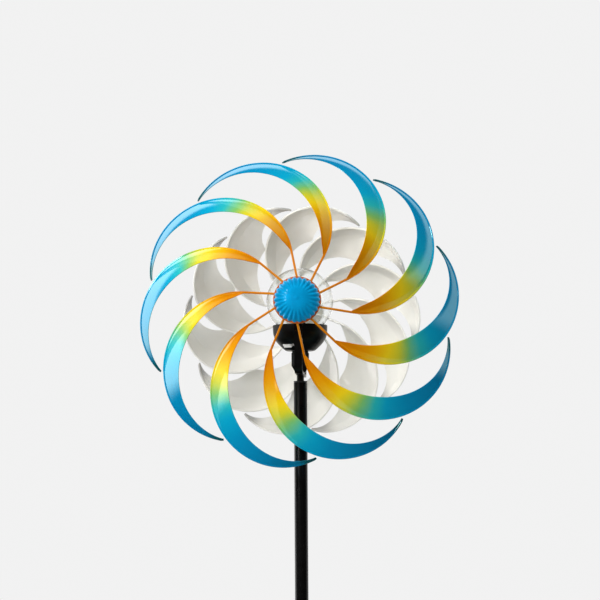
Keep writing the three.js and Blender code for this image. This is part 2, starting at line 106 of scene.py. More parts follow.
# Metres and degrees.
CAMERA = {"azimuth": 2.5, "elevation": -5.0, "roll": -0.35, "distance": 2.68, "lens_mm": 134.7}
FLOOR_Z = -0.1805
WORLD_UP = Vector((0.0, 0.0, 1.0))

# Brightness of the backdrop as seen, and as it lights the paint.
SEEN_LEVEL = 0.885
LIGHT_LEVEL = 0.50


# ---- Camera, floor and light ----
def look_at(position, target, roll=0.0):
    """Matrix of a camera or lamp at a position, its -Z axis towards a target, with +Z of the world up."""
    back = (position - target).normalized()
    right = WORLD_UP.cross(back).normalized()
    up = back.cross(right)
    turned = Matrix((right, up, back)).transposed().to_4x4()
    return Matrix.Translation(position) @ turned @ Matrix.Rotation(roll, 4, "Z")


def make_camera():
    azimuth = math.radians(CAMERA["azimuth"])
    elevation = math.radians(CAMERA["elevation"])
    target = GLOBE_CENTRE + Vector((0.0001, 0.0, 0.0018))
    offset = Vector((
        math.sin(azimuth) * math.cos(elevation),
        -math.cos(azimuth) * math.cos(elevation),
        math.sin(elevation),
    ))
    lens = bpy.data.cameras.new("camera")
    lens.sensor_width = 36.0
    lens.lens = CAMERA["lens_mm"]
    camera = bpy.data.objects.new("camera", lens)
    bpy.context.scene.collection.objects.link(camera)
    roll = math.radians(CAMERA["roll"])
    camera.matrix_world = look_at(target + offset * CAMERA["distance"], target, roll)
    bpy.context.scene.camera = camera


def area_light(name, position, target, size, radiance, mirrored=True):
    """A soft rectangular lamp. One that isn't mirrored lights the paint but shows in no reflection."""
    lamp = bpy.data.lights.new(name, "AREA")
    lamp.shape = "RECTANGLE"
    lamp.size, lamp.size_y = size
    lamp.energy = radiance * math.pi * size[0] * size[1]
    made = bpy.data.objects.new(name, lamp)
    bpy.context.scene.collection.objects.link(made)
    made.matrix_world = look_at(Vector(position), Vector(target))
    made.visible_camera = False
    made.visible_glossy = mirrored


def make_lights():
    level = GLOBE_CENTRE
    area_light("left_panel", (-1.7, -0.6, 1.75), level, (1.5, 1.6), 2.4, False)
    area_light("right_panel", (1.8, -0.4, 2.2), level, (0.6, 1.2), 0.2, False)
    area_light("top_soft", (-0.3, -0.7, 3.7), level, (1.6, 1.6), 6.0, False)
    area_light("front_soft", (-0.7, -3.2, 2.2), level, (1.8, 1.8), 3.6, False)
    area_light("front_key", (-1.5, -2.8, 3.2), level, (0.5, 0.5), 42.0, False)
    area_light("key_spark", (-1.5, -1.8, 2.7), level, (0.36, 0.46), 11.0)


def make_world():
    """A pale backdrop to the camera and through glass, a dimmer one as light, and a room in reflections."""
    world = bpy.data.worlds.new("studio")
    bpy.context.scene.world = world
    world.use_nodes = True
    tree = world.node_tree
    tree.nodes.clear()

    def backdrop(level):
        made = tree.nodes.new("ShaderNodeBackground")
        made.inputs["Color"].default_value = (level, level, level, 1.0)
        return made.outputs[0]

    def either(share, first, second):
        made = tree.nodes.new("ShaderNodeMixShader")
        for socket, source in zip(made.inputs, (share, first, second)):
            tree.links.new(source, socket)
        return made.outputs[0]

    def number(operation, first, second, third=0.0):
        made = tree.nodes.new("ShaderNodeMath")
        made.operation = operation
        for socket, value in zip(made.inputs, (first, second, third)):
            if isinstance(value, (int, float)):
                socket.default_value = value
            else:
                tree.links.new(value, socket)
        return made.outputs[0]

    def between(source, low, high):
        made = tree.nodes.new("ShaderNodeMapRange")
        made.interpolation_type = "SMOOTHSTEP"
        made.inputs["From Min"].default_value = low
        made.inputs["From Max"].default_value = high
        tree.links.new(source, made.inputs["Value"])
        return made.outputs["Result"]

    # The room in reflections: dark in front (-Y), below and overhead. Behind (+Y) hangs a bright cloth, from
    # just below the horizon up to a slanting top edge. It is brightest at the left (-X).
    place = tree.nodes.new("ShaderNodeTexCoord")
    split = tree.nodes.new("ShaderNodeSeparateXYZ")
    tree.links.new(place.outputs["Generated"], split.inputs[0])
    slope = number("MULTIPLY_ADD", split.outputs["X"], -0.8, 1.75)
    behind = number("MULTIPLY_ADD", split.outputs["Z"], -0.5, split.outputs["Y"])
    shown = number("MULTIPLY", between(behind, 0.09, 0.14), between(split.outputs["Z"], -0.35, -0.1))
    cloth = number("MULTIPLY_ADD", slope, shown, 0.02)
    room = tree.nodes.new("ShaderNodeBackground")
    tree.links.new(cloth, room.inputs["Strength"])

    path = tree.nodes.new("ShaderNodeLightPath")
    seen = backdrop(SEEN_LEVEL)
    lit = either(path.outputs["Is Glossy Ray"], backdrop(LIGHT_LEVEL), room.outputs[0])
    lit = either(path.outputs["Is Transmission Ray"], lit, seen)
    lit = either(path.outputs["Is Camera Ray"], lit, seen)
    out = tree.nodes.new("ShaderNodeOutputWorld")
    tree.links.new(lit, out.inputs[0])


def make_floor(material):
    mesh = bpy.data.meshes.new("studio_floor")
    rings, around, reach = 10, 64, 3.2
    verts = [(0.0, 0.0, FLOOR_Z)]
    faces = []
    for i in range(1, rings + 1):
        for k in range(around):
            angle = 2 * math.pi * k / around
            radius = reach * i / rings
            verts.append((radius * math.cos(angle), radius * math.sin(angle), FLOOR_Z))
    for k in range(around):
        faces.append((0, 1 + k, 1 + (k + 1) % around))
    for i in range(rings - 1):
        for k in range(around):
            a, b = 1 + i * around + k, 1 + i * around + (k + 1) % around
            faces.append((a, a + around, b + around, b))
    mesh.from_pydata(verts, [], faces)
    floor = bpy.data.objects.new("studio_floor", mesh)
    bpy.context.scene.collection.objects.link(floor)
    mesh.materials.append(material)
    floor.visible_glossy = False


# ---- Material helpers ----
def linear(red, green, blue):
    """Linear colour from 0-255 display values."""
    def one(value):
        share = value / 255.0
        return share / 12.92 if share <= 0.04045 else ((share + 0.055) / 1.055) ** 2.4
    return one(red), one(green), one(blue)


def set_ramp(ramp, stops):
    band = ramp.color_ramp
    while len(band.elements) > 1:
        band.elements.remove(band.elements[-1])
    band.elements[0].position = stops[0][0]
    band.elements[0].color = (*stops[0][1], 1.0)
    for at, colour in stops[1:]:
        band.elements.new(at).color = (*colour, 1.0)


class Paint:
    """A Principled material built node by node."""

    def __init__(self, name, **sockets):
        self.material = bpy.data.materials.new(name)
        self.material.use_nodes = True
        self.tree = self.material.node_tree
        self.shader = self.tree.nodes["Principled BSDF"]
        for socket, value in sockets.items():
            self.shader.inputs[socket.replace("_", " ")].default_value = value
        self.bumps = None

    def node(self, kind, **settings):
        made = self.tree.nodes.new(kind)
        for key, value in settings.items():
            setattr(made, key, value)
        return made

    def link(self, source, target):
        self.tree.links.new(source, target)

    def place(self):
        return self.node("ShaderNodeTexCoord").outputs["Object"]

    def noise(self, scale, detail=3.0, stretch=None):
        made = self.node("ShaderNodeTexNoise")
        made.inputs["Scale"].default_value = scale
        made.inputs["Detail"].default_value = detail
        made.inputs["Roughness"].default_value = 0.55
        source = self.place()
        if stretch:
            mapping = self.node("ShaderNodeMapping")
            mapping.inputs["Scale"].default_value = stretch
            self.link(source, mapping.inputs["Vector"])
            source = mapping.outputs["Vector"]
        self.link(source, made.inputs["Vector"])
        return made.outputs["Fac"]

    def voronoi(self, scale, feature="F1", output="Distance"):
        made = self.node("ShaderNodeTexVoronoi", feature=feature)
        made.inputs["Scale"].default_value = scale
        self.link(self.place(), made.inputs["Vector"])
        return made.outputs[output]

    def math(self, operation, first, second):
        made = self.node("ShaderNodeMath", operation=operation)
        for socket, value in zip(made.inputs, (first, second)):
            if isinstance(value, (int, float)):
                socket.default_value = value
            else:
                self.link(value, socket)
        return made.outputs[0]

    def remap(self, source, low, high, to_low, to_high):
        made = self.node("ShaderNodeMapRange")
        for socket, value in zip(list(made.inputs)[1:5], (low, high, to_low, to_high)):
            socket.default_value = value
        self.link(source, made.inputs[0])
        return made.outputs[0]

    def ramp(self, source, stops, smooth=False):
        made = self.node("ShaderNodeValToRGB")
        set_ramp(made, stops)
        if smooth:
            made.color_ramp.interpolation = "EASE"
        self.link(source, made.inputs[0])
        return made.outputs["Color"]

    def mix(self, share, first, second, blend="MIX"):
        made = self.node("ShaderNodeMix", data_type="RGBA", blend_type=blend)
        for socket, value in zip((made.inputs[0], made.inputs[6], made.inputs[7]), (share, first, second)):
            if isinstance(value, (int, float)):
                socket.default_value = value
            elif isinstance(value, tuple):
                socket.default_value = (*value, 1.0)
            else:
                self.link(value, socket)
        return made.outputs[2]

    def colour(self, source):
        self.link(source, self.shader.inputs["Base Color"])

    def rough(self, source):
        self.link(source, self.shader.inputs["Roughness"])

    def bump(self, source, depth, strength=1.0, coat=False):
        made = self.node("ShaderNodeBump")
        made.inputs["Distance"].default_value = depth
        made.inputs["Strength"].default_value = strength
        self.link(source, made.inputs["Height"])
        if self.bumps is not None:
            self.link(self.bumps, made.inputs["Normal"])
        self.bumps = made.outputs["Normal"]
        self.link(self.bumps, self.shader.inputs["Normal"])
        if coat:
            self.link(self.bumps, self.shader.inputs["Coat Normal"])

    def run(self):
        """Share along a blade, from the blade's own map."""
        made = self.node("ShaderNodeUVMap", uv_map="Run")
        split = self.node("ShaderNodeSeparateXYZ")
        self.link(made.outputs["UV"], split.inputs[0])
        return split.outputs["X"]


def black_paint():
    p = Paint("black_powder_coat", Metallic=0.0, Specular_IOR_Level=0.28)
    grain = p.noise(900.0, 2.0)
    wear = p.noise(45.0, 4.0)
    worn = p.remap(wear, 0.35, 0.7, 0.0, 1.0)
    p.colour(p.mix(worn, (0.0014, 0.0013, 0.0013), (0.0030, 0.0028, 0.0028)))
    p.rough(p.remap(wear, 0.3, 0.7, 0.26, 0.34))
    p.bump(grain, 0.00001, 0.3)
    return p.material


def black_plastic():
    p = Paint("black_moulded_plastic", Metallic=0.0, Specular_IOR_Level=0.26)
    grain = p.voronoi(1100.0)
    cloud = p.noise(60.0, 3.0)
    faded = p.remap(cloud, 0.3, 0.7, 0.0, 1.0)
    p.colour(p.mix(faded, (0.0013, 0.0012, 0.0012), (0.0028, 0.0026, 0.0026)))
    p.rough(p.remap(cloud, 0.3, 0.7, 0.30, 0.42))
    p.bump(grain, 0.00002, 0.3)
    return p.material


def zinc_steel():
    p = Paint("zinc_plated_steel", Metallic=1.0)
    streak = p.noise(260.0, 4.0, (1.0, 1.0, 0.12))
    cloud = p.noise(120.0, 3.0)
    plating = ((0.3, (0.42, 0.43, 0.44)), (0.55, (0.58, 0.58, 0.57)), (0.75, (0.66, 0.64, 0.58)))
    p.colour(p.ramp(cloud, plating))
    p.rough(p.remap(streak, 0.3, 0.7, 0.22, 0.42))
    p.bump(streak, 0.00004, 0.4)
    return p.material


def rubber():
    p = Paint("black_rubber", Metallic=0.0, Specular_IOR_Level=0.3)
    grain = p.noise(1500.0, 2.0)
    dust = p.noise(90.0, 4.0)
    p.colour(p.mix(p.remap(dust, 0.4, 0.75, 0.0, 1.0), (0.010, 0.010, 0.010), (0.028, 0.027, 0.026)))
    p.rough(p.remap(dust, 0.3, 0.7, 0.72, 0.88))
    p.bump(grain, 0.00006, 0.6)
    return p.material


def nylon():
    p = Paint("black_nylon", Metallic=0.0, Specular_IOR_Level=0.45)
    turned = p.noise(500.0, 2.0, (0.15, 0.15, 2.0))
    p.colour(p.ramp(turned, ((0.3, (0.012, 0.012, 0.013)), (0.7, (0.022, 0.022, 0.023)))))
    p.rough(p.remap(turned, 0.3, 0.7, 0.40, 0.55))
    p.bump(turned, 0.00005, 0.5)
    return p.material


# Paint colours along a blade, from the spoke to the tip. The dark teal stops from 0.96 to the tip are
# painted shade: they stand for the bare tip lying in shadow.
RAINBOW = (
    (0.00, linear(184, 112, 18)), (0.11, linear(178, 100, 2)), (0.175, linear(182, 106, 0)),
    (0.235, linear(200, 130, 0)), (0.285, linear(214, 160, 4)), (0.335, linear(220, 190, 22)),
    (0.385, linear(186, 186, 44)), (0.43, linear(110, 172, 92)), (0.485, linear(34, 164, 164)),
    (0.55, linear(2, 146, 180)), (0.65, linear(0, 128, 170)), (0.80, linear(0, 116, 160)),
    (0.925, linear(2, 100, 136)), (0.96, linear(8, 72, 80)), (1.0, linear(8, 62, 68)),
)

# Tint of the paint's own gloss along a blade.
GLAZE = (
    (0.0, (1.0, 0.7, 0.1)), (0.35, (1.0, 0.95, 0.35)),
    (0.5, (0.45, 1.0, 0.95)), (1.0, (0.40, 0.98, 1.0)),
)
WHITE = (1.0, 1.0, 1.0)


def rainbow_paint():
    p = Paint(
        "airbrushed_rainbow_paint", Metallic=0.0, IOR=1.9, Specular_IOR_Level=0.75,
        Coat_Weight=0.5, Coat_Roughness=0.025, Coat_IOR=1.5,
    )
    along = p.run()
    drift = p.remap(p.noise(28.0, 3.0), 0.3, 0.7, -0.012, 0.012)
    speckle = p.remap(p.noise(2600.0, 1.0), 0.3, 0.7, -0.010, 0.010)
    place = p.math("ADD", p.math("ADD", along, drift), speckle)
    hue = p.ramp(place, RAINBOW)
    flake = p.voronoi(3200.0, output="Color")
    glint = p.node("ShaderNodeSeparateXYZ")
    p.link(flake, glint.inputs[0])
    shade = p.ramp(glint.outputs["X"], ((0.0, (0.75, 0.75, 0.75)), (1.0, WHITE)))
    p.colour(p.mix(0.10, hue, shade, "MULTIPLY"))
    p.link(p.ramp(place, GLAZE), p.shader.inputs["Specular Tint"])
    p.rough(p.remap(p.noise(150.0, 3.0), 0.3, 0.7, 0.05, 0.09))
    p.bump(p.noise(160.0, 1.0), 0.00002, 0.5, coat=True)
    return p.material


def pearl_paint():
    p = Paint(
        "pearl_white_paint", Specular_IOR_Level=0.3,
        Coat_Weight=1.0, Coat_Roughness=0.06, Coat_IOR=1.5,
    )
    along = p.run()
    cloud = p.noise(36.0, 4.0)
    body = p.ramp(cloud, ((0.3, (0.86, 0.835, 0.775)), (0.7, (0.90, 0.88, 0.83))))
    # The last part of each blade is darkened to grey: painted shade for the tip lying in shadow.
    tip_shade = p.ramp(along, ((0.0, WHITE), (0.86, WHITE), (0.96, (0.55, 0.55, 0.56))), True)
    p.colour(p.mix(1.0, body, tip_shade, "MULTIPLY"))
    p.rough(p.remap(p.noise(150.0, 3.0), 0.3, 0.7, 0.30, 0.42))
    p.bump(p.noise(160.0, 1.0), 0.00002, 0.5, coat=True)
    return p.material


def hub_paint(name, low, high, glaze, metal):
    p = Paint(
        name, Metallic=metal, Specular_IOR_Level=0.12,
        Coat_Weight=0.9, Coat_Roughness=glaze, Coat_IOR=1.5,
    )
    cloud = p.noise(110.0, 4.0)
    fleck = p.noise(2400.0, 1.0)
    base = p.mix(p.remap(cloud, 0.3, 0.7, 0.0, 1.0), low, high)
    p.colour(p.mix(0.05, base, p.ramp(fleck, ((0.35, (0.7, 0.7, 0.7)), (0.65, WHITE))), "MULTIPLY"))
    p.rough(p.remap(cloud, 0.3, 0.7, 0.34, 0.42))
    p.bump(p.noise(220.0, 1.0), 0.00001, 0.4, coat=True)
    return p.material


def crackle_glass():
    p = Paint(
        "crackle_glass", Base_Color=(0.985, 0.995, 0.99, 1.0), Metallic=0.0, IOR=1.22,
        Transmission_Weight=1.0, Specular_IOR_Level=0.5,
    )
    wobble = p.noise(70.0, 2.0)
    cracks = p.voronoi(150.0, "DISTANCE_TO_EDGE")
    fine = p.voronoi(420.0, "DISTANCE_TO_EDGE")
    edge = p.remap(cracks, 0.0, 0.06, 1.0, 0.0)
    p.rough(p.remap(edge, 0.0, 1.0, 0.01, 0.06))
    p.bump(wobble, 0.0002, 0.2)
    p.bump(p.remap(cracks, 0.0, 0.05, 0.0, 1.0), 0.00006, 0.25)
    p.bump(p.remap(fine, 0.0, 0.04, 0.0, 1.0), 0.000015, 0.15)
    return p.material


def solar_silicon():
    p = Paint("solar_silicon", Metallic=0.3, Coat_Weight=1.0, Coat_Roughness=0.04)
    crystal = p.voronoi(420.0, output="Color")
    base = p.mix(0.25, (0.006, 0.010, 0.035), crystal, "MULTIPLY")
    split = p.node("ShaderNodeSeparateXYZ")
    p.link(p.place(), split.inputs[0])
    fingers = p.math("PINGPONG", split.outputs["X"], 0.0011)
    bars = p.math("PINGPONG", p.math("ADD", split.outputs["Y"], 0.0045), 0.0045)
    line = p.math("LESS_THAN", fingers, 0.00012)
    bar = p.math("LESS_THAN", bars, 0.0004)
    p.colour(p.mix(p.math("MAXIMUM", line, bar), base, (0.55, 0.56, 0.58)))
    p.rough(p.remap(p.noise(300.0), 0.3, 0.7, 0.18, 0.30))
    p.bump(p.noise(900.0), 0.00003, 0.3)
    return p.material


def board_green():
    p = Paint("green_board", Metallic=0.0, Coat_Weight=0.6, Coat_Roughness=0.1)
    traces = p.node("ShaderNodeTexBrick", offset=0.5)
    traces.inputs["Scale"].default_value = 260.0
    traces.inputs["Mortar Size"].default_value = 0.06
    traces.inputs["Color1"].default_value = (0.010, 0.085, 0.030, 1.0)
    traces.inputs["Color2"].default_value = (0.012, 0.095, 0.036, 1.0)
    traces.inputs["Mortar"].default_value = (0.022, 0.150, 0.060, 1.0)
    p.link(p.place(), traces.inputs["Vector"])
    p.colour(traces.outputs["Color"])
    p.rough(p.remap(p.noise(400.0), 0.3, 0.7, 0.35, 0.5))
    p.bump(traces.outputs["Fac"], 0.00005, 0.5)
    return p.material


def led_clear():
    p = Paint("led_epoxy", Base_Color=(0.95, 0.94, 0.86, 1.0), Transmission_Weight=0.9, IOR=1.5)
    p.rough(p.remap(p.noise(700.0), 0.3, 0.7, 0.05, 0.16))
    p.bump(p.noise(500.0), 0.00004, 0.4)
    return p.material


def cell_sleeve():
    p = Paint("battery_sleeve", Metallic=0.0, Coat_Weight=0.8, Coat_Roughness=0.08)
    split = p.node("ShaderNodeSeparateXYZ")
    p.link(p.place(), split.inputs[0])
    band = p.math("GREATER_THAN", split.outputs["X"], 0.007)
    tone = p.mix(band, (0.035, 0.22, 0.075), (0.55, 0.55, 0.53))
    p.colour(p.mix(p.remap(p.noise(200.0), 0.3, 0.7, 0.0, 0.2), tone, (0.02, 0.10, 0.04)))
    p.rough(p.remap(p.noise(300.0), 0.3, 0.7, 0.28, 0.42))
    p.bump(p.noise(300.0), 0.00005, 0.4)
    return p.material


def switch_white():
    p = Paint("switch_white", Metallic=0.0, Specular_IOR_Level=0.5)
    cloud = p.noise(300.0, 3.0)
    p.colour(p.ramp(cloud, ((0.3, (0.80, 0.79, 0.78)), (0.7, (0.88, 0.875, 0.87)))))
    p.rough(p.remap(cloud, 0.3, 0.7, 0.38, 0.52))
    p.bump(p.noise(1400.0, 2.0), 0.00004, 0.4)
    return p.material


def floor_finish():
    p = Paint("pale_floor", Metallic=0.0, Specular_IOR_Level=0.2)
    cloud = p.noise(3.0, 3.0)
    p.colour(p.ramp(cloud, ((0.3, (0.86, 0.86, 0.86)), (0.7, (0.88, 0.88, 0.88)))))
    p.rough(p.remap(cloud, 0.3, 0.7, 0.75, 0.85))
    return p.material


# ---- Mesh helpers ----
def add_piece(name, mesh, material, body, nodes, matrix=None, angle=35.0):
    """Links a finished mesh as a piece that rides on a body and stands for CAD nodes."""
    piece = bpy.data.objects.new(name, mesh)
    bpy.context.scene.collection.objects.link(piece)
    if matrix is not None:
        mesh.transform(matrix)
    if not mesh.materials:
        mesh.materials.append(material)
    mesh.shade_smooth()
    mesh.set_sharp_from_angle(angle=math.radians(angle))
    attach(piece, body)
    if nodes:
        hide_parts(*nodes)
    return piece


def mesh_of(name, verts, faces):
    mesh = bpy.data.meshes.new(name)
    mesh.from_pydata(verts, [], faces)
    mesh.validate()
    work = bmesh.new()
    work.from_mesh(mesh)
    bmesh.ops.recalc_face_normals(work, faces=work.faces)
    work.to_mesh(mesh)
    work.free()
    return mesh


def lathe(outline, segments=64, ripple=None):
    """Vertices and faces of a turned form about +Z from an outline of (radius, z) in millimetres.

    The outline is a closed loop, or starts and ends on the axis. ripple(radius, z, angle) may return other
    (radius, z) values.
    """
    closed = outline[0][0] > 1e-6
    verts, faces, rows = [], [], []
    for radius, z in outline:
        if radius < 1e-6:
            rows.append([len(verts)])
            verts.append((0.0, 0.0, z * MM))
            continue
        rows.append(list(range(len(verts), len(verts) + segments)))
        for k in range(segments):
            angle = 2 * math.pi * k / segments
            r, h = ripple(radius, z, angle) if ripple else (radius, z)
            verts.append((r * math.cos(angle) * MM, r * math.sin(angle) * MM, h * MM))
    pairs = list(zip(rows, rows[1:]))
    if closed:
        pairs.append((rows[-1], rows[0]))
    for one, two in pairs:
        for k in range(segments):
            n = (k + 1) % segments
            if len(one) == 1 and len(two) == 1:
                continue
            if len(one) == 1:
                faces.append((one[0], two[n], two[k]))
            elif len(two) == 1:
                faces.append((one[k], one[n], two[0]))
            else:
                faces.append((one[k], one[n], two[n], two[k]))
    return verts, faces


def rounded(outline, radius, steps=3):
    """The closed outline with its corners rounded."""
    points = []
    count = len(outline)
    for i in range(count):
        here = Vector(outline[i])
        before = Vector(outline[i - 1]) - here
        after = Vector(outline[(i + 1) % count]) - here
        cut = min(radius, before.length * 0.45, after.length * 0.45)
        start = here + before.normalized() * cut
        end = here + after.normalized() * cut
        for k in range(steps + 1):
            t = k / steps
            points.append(tuple(start * (1 - t) ** 2 + here * 2 * t * (1 - t) + end * t ** 2))
    return points


def join_parts(parts):
    """One list of vertices and one of faces from several."""
    verts, faces = [], []
    for part_verts, part_faces in parts:
        base = len(verts)
        verts.extend(part_verts)
        faces.extend(tuple(base + i for i in face) for face in part_faces)
    return verts, faces


def moved(part, matrix):
    verts, faces = part
    return [tuple(matrix @ Vector(v)) for v in verts], faces


def blob(centre, size, turn=None, rings=6, around=10):
    """A small weld bead or stud: an ellipsoid with half sizes in millimetres."""
    verts, faces = lathe(
        [(math.sin(math.pi * i / rings), -math.cos(math.pi * i / rings)) if 0 < i < rings
         else (0.0, -math.cos(math.pi * i / rings)) for i in range(rings + 1)],
        around,
    )
    matrix = Matrix.Translation(Vector(centre) * MM)
    if turn is not None:
        matrix = matrix @ turn
    matrix = matrix @ Matrix.Diagonal((*size, 1.0))
    return moved((verts, faces), matrix)


def rotor_matrix(rotor):
    """The rotor's own frame in the row frame, at rest."""
    tilt = math.radians(rotor["tilt"])
    joint = next(j for j in frame["joints"] if j["name"] == rotor["joint"])
    turn = Matrix.Rotation(math.radians(rotor["turn"]), 4, "Z")
    stand = Matrix.Rotation(math.pi / 2 - tilt, 4, "X")
    return Matrix.Translation(Vector(joint["pos_m"])) @ turn @ stand


# ---- Blades ----
def curl_at(share):
    for (low_at, low), (high_at, high) in zip(CURL, CURL[1:]):
        if share <= high_at:
            return low + (high - low) * (share - low_at) / (high_at - low_at)
    return CURL[-1][1]


def wire_point(rotor, state, target):
    """Carries the wire's state (x, y, heading, s) on to the distance target and returns its point."""
    start = RIBBON_START * rotor["size"]
    hub = HUB_RADIUS * rotor["size"]
    while state["s"] < target - 1e-9:
        step = min(0.5, target - state["s"])
        share = (state["s"] + step / 2 - start) / (rotor["length"] - start)
        turn = 0.0 if share < 0 else curl_at(share) * step / rotor["size"]
        state["x"] += math.cos(state["heading"] + turn / 2) * step
        state["y"] += math.sin(state["heading"] + turn / 2) * step
        state["heading"] += turn
        state["s"] += step
    x, y = state["x"], state["y"]
    if target < 0:
        x = hub + math.cos(state["heading"]) * target
        y = math.sin(state["heading"]) * target
    out = max(math.hypot(x, y) - hub, 0.0) / (DISH_REACH * rotor["size"])
    return Vector((x, y, -rotor["dish"] * out ** DISH_POWER))


def ribbon_share(t):
    rise = RIBBON_PEAK * RIBBON_TAIL / (1 - RIBBON_PEAK)
    peak = RIBBON_PEAK ** rise * (1 - RIBBON_PEAK) ** RIBBON_TAIL
    return max(t, 0.0) ** rise * max(1 - t, 0.0) ** RIBBON_TAIL / peak


def blade_stations(rotor):
    start = RIBBON_START * rotor["size"]
    inner = WIRE_INNER_RADIUS - HUB_RADIUS * rotor["size"]
    spoke = [inner + (start - inner) * i / 14 for i in range(14)]
    early = [start + 0.35 + i * 1.4 for i in range(8)]
    rest = [early[-1] + (rotor["length"] - early[-1]) * i / 84 for i in range(1, 85)]
    return spoke, [start] + early + rest


def blade_sections(rotor):
    spoke, run = blade_stations(rotor)
    state = {"x": HUB_RADIUS * rotor["size"], "y": 0.0, "heading": math.radians(HEADING), "s": 0.0}
    stations = spoke + run
    line = [wire_point(rotor, state, s) for s in stations]
    start = RIBBON_START * rotor["size"]
    sections = []
    for i, s in enumerate(stations):
        tangent = (line[min(i + 1, len(line) - 1)] - line[max(i - 1, 0)]).normalized()
        inward = Vector((-tangent.y, tangent.x, 0.0)).normalized()
        upward = tangent.cross(inward)
        t = max((s - start) / (rotor["length"] - start), 0.0)
        lean_low, lean_high = rotor["lean"]
        folds = []
        for strip_turn in rotor["strip_turns"]:
            lean = math.radians(lean_low + (lean_high - lean_low) * t + strip_turn)
            along = inward * math.cos(lean) + upward * math.sin(lean)
            folds.append((along, tangent.cross(along)))
        sections.append({"s": s, "t": t, "at": line[i], "folds": folds, "ribbon": s >= start})
    return sections


def wire_tube(rotor, sections, sides=10):
    """The round wire: rings of vertices, closed by caps at both ends."""
    verts, faces, runs = [], [], []
    last = len(sections) - 1
    for i, section in enumerate(sections):
        along, normal = section["folds"][0]
        radius = WIRE_RADIUS * (0.55 if i in (0, last) else 1.0)
        for k in range(sides):
            angle = 2 * math.pi * k / sides
            point = section["at"] + (along * math.cos(angle) + normal * math.sin(angle)) * radius
            verts.append(point * MM)
            runs.append((section["s"] / rotor["length"], 0.0))
    for i in range(last):
        for k in range(sides):
            a, b = i * sides + k, i * sides + (k + 1) % sides
            faces.append((a, b, b + sides, a + sides))
    faces.append(tuple(range(sides))[::-1])
    faces.append(tuple(range(last * sides, last * sides + sides)))
    return verts, faces, runs


def ribbon_profile(rotor, section, cells):
    """Points on the ribbon's middle surface from the wire to its free edge, with normals and shares."""
    t = section["t"]
    share = ribbon_share(t)
    root = rotor["root"] * min(t / 0.04, 1.0) * (1 - t)
    points = []
    at = section["at"] + section["folds"][0][0] * (WIRE_RADIUS * 0.55)
    widths = [share * width + 0.3 for width in rotor["strips"]]
    widths[0] += root + WIRE_RADIUS * 0.45 + 0.3
    total = sum(widths)
    passed = 0.0
    for (along, normal), width in zip(section["folds"], widths):
        first = 0 if not points else 1
        for k in range(first, cells + 1):
            v = k / cells
            crown = rotor["crown"] * width * 4 * v * (1 - v)
            points.append((at + along * width * v + normal * crown, normal, (passed + width * v) / total))
        at = at + along * width
        passed += width
    return points


def ribbon_sheet(rotor, sections):
    """The thin ribbon, closed: a top and a bottom skin joined round the edges."""
    cells = 8 if len(rotor["strips"]) == 1 else 5
    rows = [ribbon_profile(rotor, section, cells) for section in sections]
    wide = len(rows[0])
    verts, faces, runs = [], [], []
    for side in (1, -1):
        for section, row in zip(sections, rows):
            for point, normal, v in row:
                verts.append((point + normal * SHEET_HALF * side) * MM)
                runs.append((section["s"] / rotor["length"], v))
    count = len(rows)
    back = count * wide
    for i in range(count - 1):
        for k in range(wide - 1):
            a = i * wide + k
            faces.append((a, a + 1, a + 1 + wide, a + wide))
            faces.append((back + a, back + a + wide, back + a + 1 + wide, back + a + 1))
        for k in (0, wide - 1):
            a = i * wide + k
            faces.append((a, a + wide, back + a + wide, back + a))
    for i in (0, count - 1):
        for k in range(wide - 1):
            a = i * wide + k
            faces.append((a, a + 1, back + a + 1, back + a))
    return verts, faces, runs


# The colours start a little sooner or later on each blade.
HUE_SHIFT = 0.006
HUE_STEP = 2.4


def make_blade(rotor, number, matrix, material):
    sections = rotor["sections"]
    tube = wire_tube(rotor, sections)
    sheet = ribbon_sheet(rotor, [s for s in sections if s["ribbon"]])
    verts, faces = join_parts([tube[:2], sheet[:2]])
    runs = tube[2] + sheet[2]
    name = f"{rotor['label']}_painted_blade_{number:02d}"
    mesh = mesh_of(name, verts, faces)
    layer = mesh.uv_layers.new(name="Run")
    shift = HUE_SHIFT * math.sin(HUE_STEP * number)
    for loop in mesh.loops:
        u, v = runs[loop.vertex_index]
        layer.data[loop.index].uv = (u + shift, v)
    turn = Matrix.Rotation(math.radians(rotor["phase"] + BLADE_PITCH * (number - 1)), 4, "Z")
    node = f"{rotor['label']}_blade_{number:02d}"
    add_piece(name, mesh, material, rotor["body"], [node], matrix @ turn, 28.0)


# ---- Hubs ----
def dome_mesh(name):
    """A pressed cap: radial flutes that run out towards its middle, a scalloped rim and a centre pip."""
    radius, height, low = DOME["radius"], DOME["height"], DOME["low"]
    flutes, depth = DOME["flutes"], DOME["depth"]
    shell = DOME["wall"] + depth
    rings, inner_rings = 30, 8

    def ripple(r, z, angle):
        share = r / radius
        reach = min(max((share - 0.42) / 0.4, 0.0), 1.0)
        reach = reach * reach * (3 - 2 * reach)
        wave = (0.5 - 0.5 * math.cos(flutes * angle)) ** 1.6
        return r - depth * wave * reach ** 3 * share, z - depth * wave * reach * (1 - 0.35 * share)

    pip_foot = low + height * math.sin(math.acos(PIP_RADIUS / radius)) - 0.35
    outside = []
    for i in range(rings + 1):
        angle = (math.pi / 2) * i / rings
        r, z = radius * math.cos(angle), low + height * math.sin(angle)
        if r < PIP_RADIUS:
            z = pip_foot + math.sqrt(max(1 - (r / PIP_RADIUS) ** 2, 0.0))
        outside.append((r if i < rings else 0.0, z))
    inner = []
    for i in range(inner_rings + 1):
        angle = (math.pi / 2) * i / inner_rings
        r = (radius - shell) * math.cos(angle) if i < inner_rings else 0.0
        inner.append((r, low + (height - shell + DOME_INNER_RISE) * math.sin(angle)))
    outline = inner[::-1] + [(inner[0][0] + 0.2, low)] + [(radius - 0.3, low)] + outside[1:]
    verts, faces = lathe(outline, flutes * 8, ripple)
    return mesh_of(name, verts, faces)


